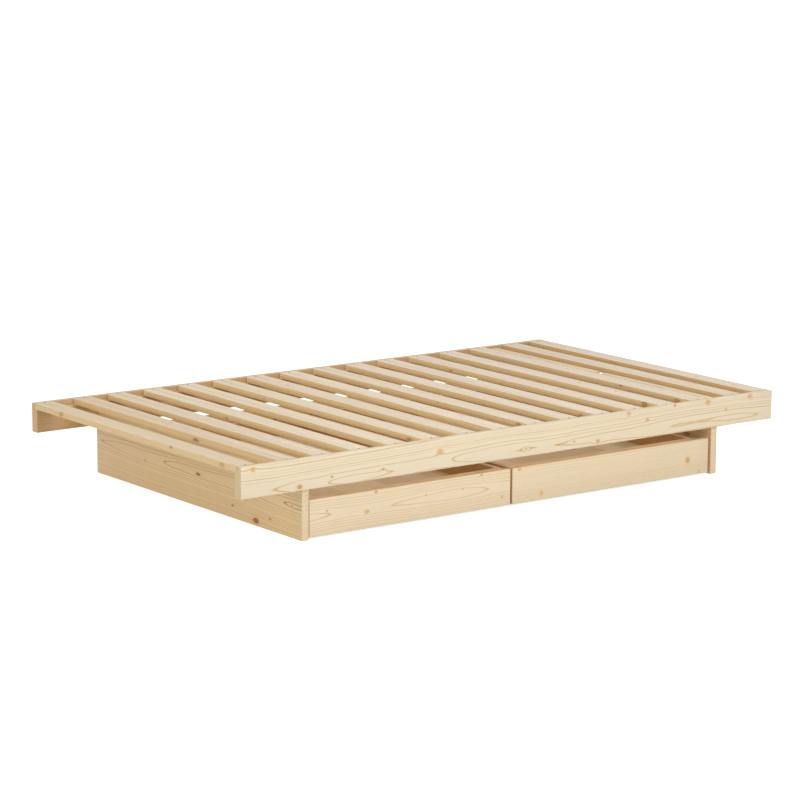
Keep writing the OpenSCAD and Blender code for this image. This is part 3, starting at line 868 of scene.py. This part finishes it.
peg_wood, shader = new_material("peg_wood")
tree = peg_wood.node_tree
place = put(tree, "TexCoord").outputs["Object"]
fleck = noise(tree, place, (700.0, 700.0, 700.0), 3.0, 0.6)
colour = blend_colour(tree, fleck, (0.70, 0.52, 0.31, 1.0), (0.80, 0.64, 0.42, 1.0))
tree.links.new(colour, shader.inputs["Base Color"])
shader.inputs["Roughness"].default_value = 0.6
for name in ("rail_dowels", "back_dowels"):
    dress(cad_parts[name], peg_wood)


# ---------------------------------------------------------------- Floor, light and camera
# A plain white floor under a white surround, with a large soft key in front, a soft light
# high up behind and a fill from the left, and the camera at the photograph's angle.

FLOOR_REACH, FLOOR_LEVEL = 60.0, -0.0005
corners = [(x * FLOOR_REACH, y * FLOOR_REACH, FLOOR_LEVEL)
           for x, y in ((-1, -1), (1, -1), (1, 1), (-1, 1))]
floor_mesh = bpy.data.meshes.new("studio_floor")
floor_mesh.from_pydata(corners, [], [(0, 1, 2, 3)])
floor = bpy.data.objects.new("studio_floor", floor_mesh)
bpy.context.scene.collection.objects.link(floor)
floor_white = bpy.data.materials.new("floor_white")
floor_white.use_nodes = True
tree = floor_white.node_tree
tree.nodes.clear()
matt = put(tree, "BsdfDiffuse", {"Color": (0.80, 0.80, 0.80, 1.0)})


def seen_straight(tree):
    """1 for what the camera sees, also in gloss or through glass, and 0 for light on the object."""
    seen = put(tree, "LightPath").outputs
    gloss = maths(tree, "MAXIMUM", seen["Is Glossy Ray"], seen["Is Transmission Ray"])
    return maths(tree, "MAXIMUM", seen["Is Camera Ray"], gloss)


# the floor shows as white as the surround, and throws no more light on the bed for it
glow = maths(tree, "MULTIPLY", seen_straight(tree), 0.76)
lift = put(tree, "Emission", {"Color": (1.0, 1.0, 1.0, 1.0), "Strength": glow})
both = tree.nodes.new("ShaderNodeAddShader")
tree.links.new(matt.outputs[0], both.inputs[0])
tree.links.new(lift.outputs[0], both.inputs[1])
tree.links.new(both.outputs[0], tree.nodes.new("ShaderNodeOutputMaterial").inputs["Surface"])
floor_mesh.materials.append(floor_white)

world = bpy.data.worlds.new("studio")
bpy.context.scene.world = world
world.use_nodes = True
tree = world.node_tree
back = tree.nodes["Background"]
back.inputs["Color"].default_value = (1.0, 1.0, 1.0, 1.0)
tree.links.new(ease_between(tree, seen_straight(tree), 0.0, 1.0, 0.42, 1.0), back.inputs["Strength"])


def soft_light(name, at, target, size, watts):
    """A square soft box that points at a target."""
    lamp = bpy.data.lights.new(name, "AREA")
    lamp.shape, lamp.size, lamp.energy = "SQUARE", size, watts
    made = bpy.data.objects.new(name, lamp)
    made.location = at
    made.rotation_euler = (Vector(target) - Vector(at)).to_track_quat("-Z", "Y").to_euler()
    bpy.context.scene.collection.objects.link(made)


soft_light("key", (-0.1, -4.9, 2.5), (-0.1, 0.0, 0.1), 3.0, 127.0)
soft_light("top", (2.0, 2.0, 4.8), (0.4, 0.2, 0.0), 4.0, 58.0)
soft_light("fill", (-5.8, -0.6, 2.2), (-0.4, 0.0, 0.1), 3.0, 92.0)

# the photograph's viewpoint, and the camera's turn, dip and roll in degrees
CAMERA_PLACE = (-5.7749, -7.7518, 2.1086)
CAMERA_TURN = (36.551, 10.926, 0.299)
camera = bpy.data.cameras.new("camera")
camera.sensor_width, camera.lens = 36.0, 136.09
camera.clip_end = 100.0
holder = bpy.data.objects.new("camera", camera)
bpy.context.scene.collection.objects.link(holder)
yaw, pitch, roll = (math.radians(a) for a in CAMERA_TURN)
ahead = Vector((math.sin(yaw) * math.cos(pitch), math.cos(yaw) * math.cos(pitch), -math.sin(pitch)))
right = Vector((math.cos(yaw), -math.sin(yaw), 0.0))
up = right.cross(ahead)
rolled = right * math.cos(roll) + up * math.sin(roll)
up = up * math.cos(roll) - right * math.sin(roll)
turn = Matrix((rolled, up, -ahead)).transposed().to_4x4()
holder.matrix_world = Matrix.Translation(CAMERA_PLACE) @ turn
bpy.context.scene.camera = holder
bpy.context.scene.view_settings.view_transform = "Standard"

bpy.context.view_layer.update()
